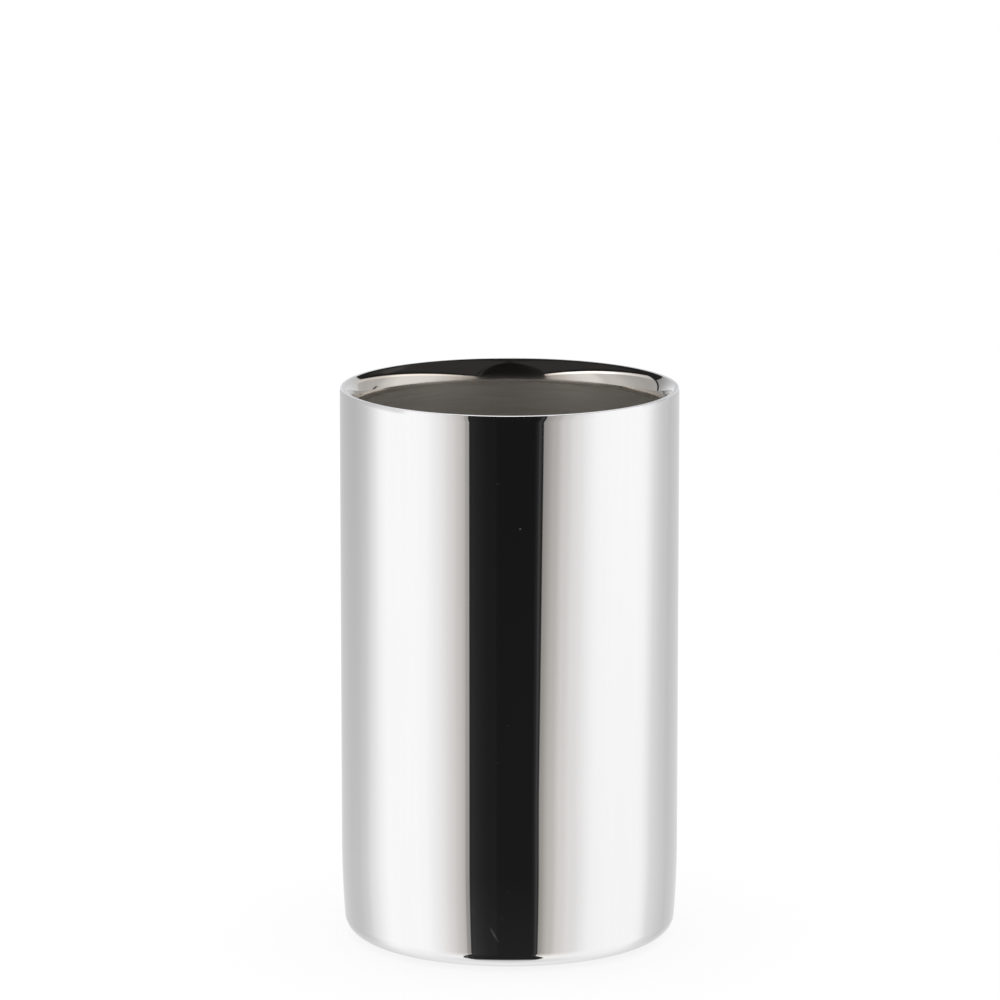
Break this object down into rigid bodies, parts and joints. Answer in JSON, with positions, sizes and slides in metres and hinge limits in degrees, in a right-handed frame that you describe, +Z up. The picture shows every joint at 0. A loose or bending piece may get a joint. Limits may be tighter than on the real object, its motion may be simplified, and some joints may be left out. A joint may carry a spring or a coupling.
{
  "type": "bottle cooler",
  "caption": "Tall cylindrical double-wall cooler for one wine or champagne bottle, polished steel, with a rolled-in lip, an open well, an insulating vacuum space and a foot pad.",
  "frame": {"origin": "centre of the foot pad's underside, on the surface that the cooler stands on", "axes": "+Z up, along the axis of the well; the round body has no front, so X and Y are free"},
  "size_m": [0.12, 0.12, 0.198],
  "materials": {
    "polished_steel": "mirror-polished stainless steel",
    "liner_steel": "polished at the lip, satin down in the well",
    "mill_steel": "mill finish, pressed",
    "satin_steel": "fine turned satin",
    "weld_steel": "as welded",
    "solder_glass": "dark solder glass",
    "getter": "pressed powder",
    "copper_foil": "bright copper foil",
    "adhesive": "translucent adhesive film",
    "silicone": "matt silicone"
  },
  "bodies": {
    "root": {"outer_shell": "polished_steel", "rim_weld": "polished_steel", "inner_liner": "liner_steel", "vacuum_base": "mill_steel", "base_weld": "weld_steel", "port_seal": "solder_glass", "getter_clip": "mill_steel", "getter_pellet": "getter", "shield_sleeve": "copper_foil", "shield_disc": "copper_foil", "base_cover": "satin_steel", "pad_adhesive": "adhesive", "foot_pad": "silicone"}
  },
  "joints": []
}
